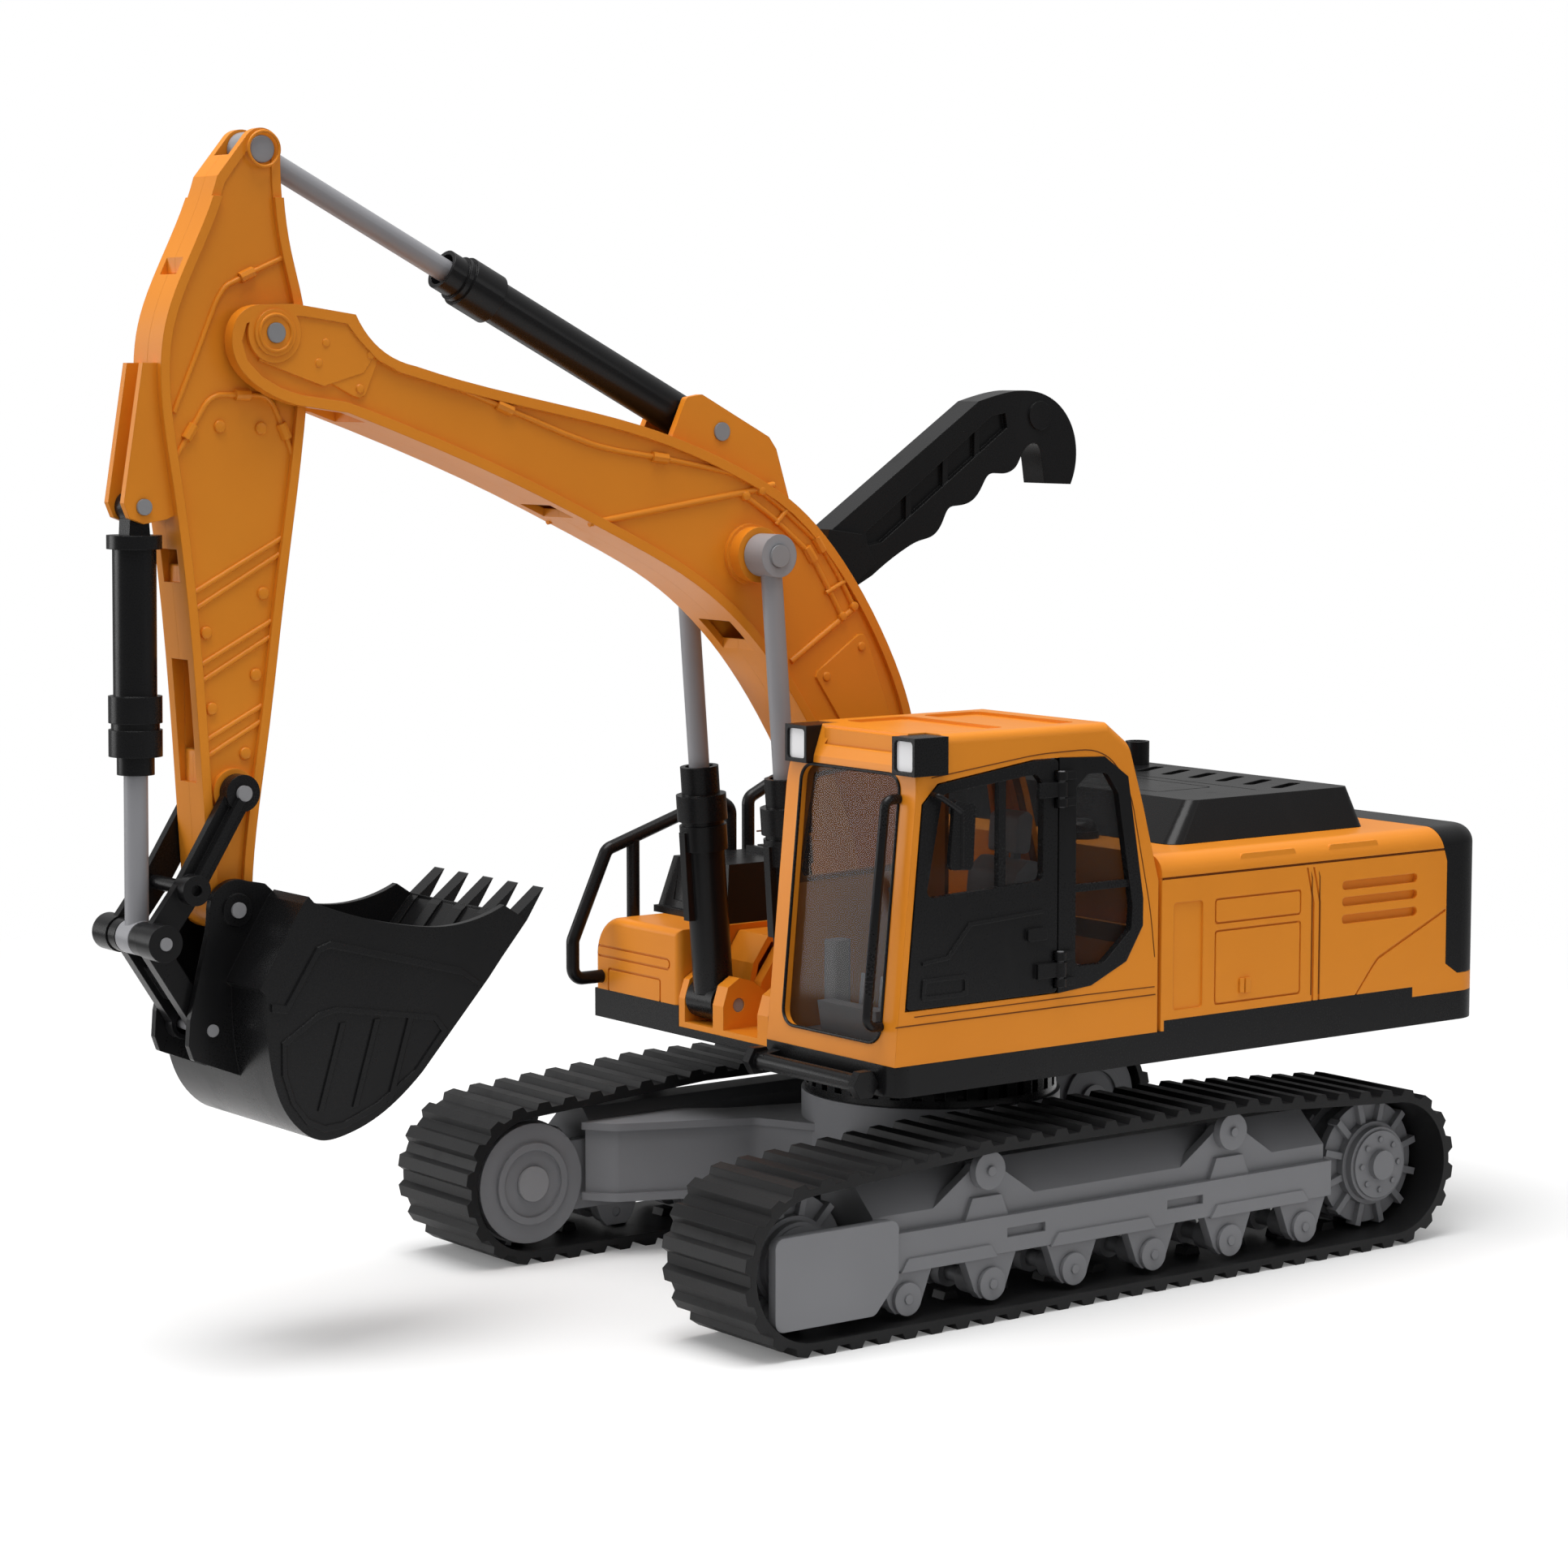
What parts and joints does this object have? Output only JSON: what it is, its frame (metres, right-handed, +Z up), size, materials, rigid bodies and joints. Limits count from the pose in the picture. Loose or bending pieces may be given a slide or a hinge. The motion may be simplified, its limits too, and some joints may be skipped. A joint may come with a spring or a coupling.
{
  "type": "toy excavator",
  "caption": "Toy crawler excavator with rubber tracks, slewing cab, opening door, jointed boom, arm and bucket, and a carry handle on the boom.",
  "frame": {"origin": "on the ground on the slewing axis, midway between the tracks and midway between sprocket and idler", "axes": "+X towards the operator's left (the cab side), +Y towards the rear counterweight, +Z up"},
  "size_m": [0.2, 0.4814, 0.3724],
  "materials": {
    "rubber_black": "moulded soft rubber, matt",
    "chassis_grey": "moulded dark grey plastic, fine grain",
    "roller_grey": "moulded dark grey plastic",
    "guard_grey": "moulded dark grey plastic",
    "pin_steel": "plain steel pins, satin",
    "black_plastic": "moulded black plastic, satin",
    "yellow_plastic": "moulded orange-yellow plastic, satin gloss",
    "rod_silver": "silver grey plastic rods, smooth",
    "interior_grey": "moulded grey plastic",
    "clear_glass": "clear thin plastic glazing",
    "lamp_glass": "clear ribbed lamp lens",
    "lamp_red": "red translucent plastic"
  },
  "bodies": {
    "undercarriage": {"car_body": "chassis_grey", "slew_ring": "black_plastic", "bottom_rollers": "roller_grey", "carrier_rollers": "roller_grey", "idler_guards": "guard_grey", "wheel_axles": "pin_steel", "track_left": "rubber_black", "side_frame_left": "chassis_grey", "track_right": "rubber_black", "side_frame_right": "chassis_grey"},
    "upper": {"deck": "black_plastic", "body_shell": "yellow_plastic", "rear_trim": "black_plastic", "tail_lamps": "lamp_red", "engine_hood": "black_plastic", "exhaust_stub": "black_plastic", "filler_cap": "black_plastic", "boom_mount": "yellow_plastic", "base_pins": "pin_steel", "front_box": "yellow_plastic", "machinery_box": "black_plastic", "handrails": "black_plastic", "cab_shell": "yellow_plastic", "quarter_frame": "black_plastic", "door_hinge_pins": "pin_steel", "cab_glass": "clear_glass", "roof_lamps": "black_plastic", "lamp_lenses": "lamp_glass", "cab_handrail": "black_plastic", "cab_bumper": "black_plastic", "cab_floor": "interior_grey", "seat": "interior_grey", "controls": "interior_grey"},
    "door": {"cab_door": "black_plastic", "door_glass": "clear_glass", "side_mirror": "black_plastic"},
    "boom": {"boom_shell_left": "yellow_plastic", "boom_shell_right": "yellow_plastic", "boom_pins": "pin_steel", "carry_handle": "black_plastic"},
    "arm": {"arm_shell_left": "yellow_plastic", "arm_shell_right": "yellow_plastic", "arm_pins": "pin_steel"},
    "arm_barrel": {"arm_cylinder_barrel": "black_plastic"},
    "arm_rod": {"arm_cylinder_rod": "rod_silver"},
    "bucket_barrel": {"bucket_cylinder_barrel": "black_plastic"},
    "bucket_rod": {"bucket_cylinder_rod": "rod_silver"},
    "levers": {"bucket_levers": "black_plastic", "linkage_pin": "pin_steel"},
    "link": {"bucket_link": "black_plastic"},
    "bucket": {"bucket": "black_plastic", "bucket_pins": "pin_steel"},
    "sprocket_left": {"sprocket_left": "roller_grey"},
    "idler_left": {"idler_left": "roller_grey"},
    "lift_barrel_left": {"lift_barrel_left": "black_plastic"},
    "lift_rod_left": {"lift_rod_left": "rod_silver"},
    "sprocket_right": {"sprocket_right": "roller_grey"},
    "idler_right": {"idler_right": "roller_grey"},
    "lift_barrel_right": {"lift_barrel_right": "black_plastic"},
    "lift_rod_right": {"lift_rod_right": "rod_silver"}
  },
  "joints": [
    {"name": "slew", "type": "hinge", "parent": "undercarriage", "child": "upper", "pos_m": [0, 0, 0.07], "axis": [0, 0, 1], "continuous": true},
    {"name": "sprocket_turn_left", "type": "hinge", "parent": "undercarriage", "child": "sprocket_left", "pos_m": [0.075, 0.126, 0.0273], "axis": [1, 0, 0], "continuous": true},
    {"name": "idler_turn_left", "type": "hinge", "parent": "undercarriage", "child": "idler_left", "pos_m": [0.075, -0.126, 0.0273], "axis": [1, 0, 0], "continuous": true},
    {"name": "sprocket_turn_right", "type": "hinge", "parent": "undercarriage", "child": "sprocket_right", "pos_m": [-0.075, 0.126, 0.0273], "axis": [1, 0, 0], "continuous": true},
    {"name": "idler_turn_right", "type": "hinge", "parent": "undercarriage", "child": "idler_right", "pos_m": [-0.075, -0.126, 0.0273], "axis": [1, 0, 0], "continuous": true},
    {"name": "door_swing", "type": "hinge", "parent": "upper", "child": "door", "pos_m": [0.0952, -0.0242, 0.139], "axis": [0, 0, 1], "range_deg": [0, 95]},
    {"name": "boom_lift", "type": "hinge", "parent": "upper", "child": "boom", "pos_m": [-0.008, -0.024, 0.108], "axis": [1, 0, 0], "range_deg": [-20, 10]},
    {"name": "lift_barrel_turn_left", "type": "hinge", "parent": "upper", "child": "lift_barrel_left", "pos_m": [0.0157, -0.069, 0.088], "axis": [1, 0, 0], "range_deg": [-19, 11]},
    {"name": "lift_rod_turn_left", "type": "hinge", "parent": "boom", "child": "lift_rod_left", "pos_m": [0.0157, -0.0806, 0.241], "axis": [1, 0, 0], "range_deg": [-2, 3]},
    {"name": "lift_barrel_turn_right", "type": "hinge", "parent": "upper", "child": "lift_barrel_right", "pos_m": [-0.0317, -0.069, 0.088], "axis": [1, 0, 0], "range_deg": [-19, 11]},
    {"name": "lift_rod_turn_right", "type": "hinge", "parent": "boom", "child": "lift_rod_right", "pos_m": [-0.0317, -0.0806, 0.241], "axis": [1, 0, 0], "range_deg": [-2, 3]},
    {"name": "arm_swing", "type": "hinge", "parent": "boom", "child": "arm", "pos_m": [-0.008, -0.2569, 0.3119], "axis": [1, 0, 0], "range_deg": [-10, 30]},
    {"name": "arm_barrel_turn", "type": "hinge", "parent": "boom", "child": "arm_barrel", "pos_m": [-0.008, -0.0902, 0.2809], "axis": [1, 0, 0], "range_deg": [-3, 6]},
    {"name": "arm_rod_turn", "type": "hinge", "parent": "arm", "child": "arm_rod", "pos_m": [-0.008, -0.257, 0.3662], "axis": [1, 0, 0], "range_deg": [-26, 9]},
    {"name": "bucket_curl", "type": "hinge", "parent": "arm", "child": "bucket", "pos_m": [-0.008, -0.2717, 0.1398], "axis": [1, 0, 0], "range_deg": [-60, 8]},
    {"name": "lever_turn", "type": "hinge", "parent": "arm", "child": "levers", "pos_m": [-0.008, -0.27, 0.175], "axis": [1, 0, 0], "range_deg": [-41, 8]},
    {"name": "bucket_barrel_turn", "type": "hinge", "parent": "arm", "child": "bucket_barrel", "pos_m": [-0.008, -0.2975, 0.2608], "axis": [1, 0, 0], "range_deg": [-13, 3]},
    {"name": "bucket_rod_turn", "type": "hinge", "parent": "levers", "child": "bucket_rod", "pos_m": [-0.008, -0.299, 0.1325], "axis": [1, 0, 0], "range_deg": [-6, 28]},
    {"name": "link_turn", "type": "hinge", "parent": "levers", "child": "link", "pos_m": [-0.008, -0.299, 0.1325], "axis": [1, 0, 0], "range_deg": [-6, 28]}
  ],
  "couplings": [
    {"joint": "idler_turn_left", "follows": "sprocket_turn_left", "ratio": 1},
    {"joint": "idler_turn_right", "follows": "sprocket_turn_right", "ratio": 1},
    {"joint": "lift_barrel_turn_left", "follows": "boom_lift", "ratio": 0.874},
    {"joint": "lift_rod_turn_left", "follows": "boom_lift", "ratio": -0.126},
    {"joint": "lift_barrel_turn_right", "follows": "boom_lift", "ratio": 0.874},
    {"joint": "lift_rod_turn_right", "follows": "boom_lift", "ratio": -0.126},
    {"joint": "arm_barrel_turn", "follows": "arm_swing", "ratio": 0.16},
    {"joint": "arm_rod_turn", "follows": "arm_swing", "ratio": -0.84},
    {"joint": "lever_turn", "follows": "bucket_curl", "ratio": 0.655},
    {"joint": "bucket_barrel_turn", "follows": "bucket_curl", "ratio": 0.199},
    {"joint": "bucket_rod_turn", "follows": "bucket_curl", "ratio": -0.456},
    {"joint": "link_turn", "follows": "bucket_curl", "ratio": -0.435}
  ]
}
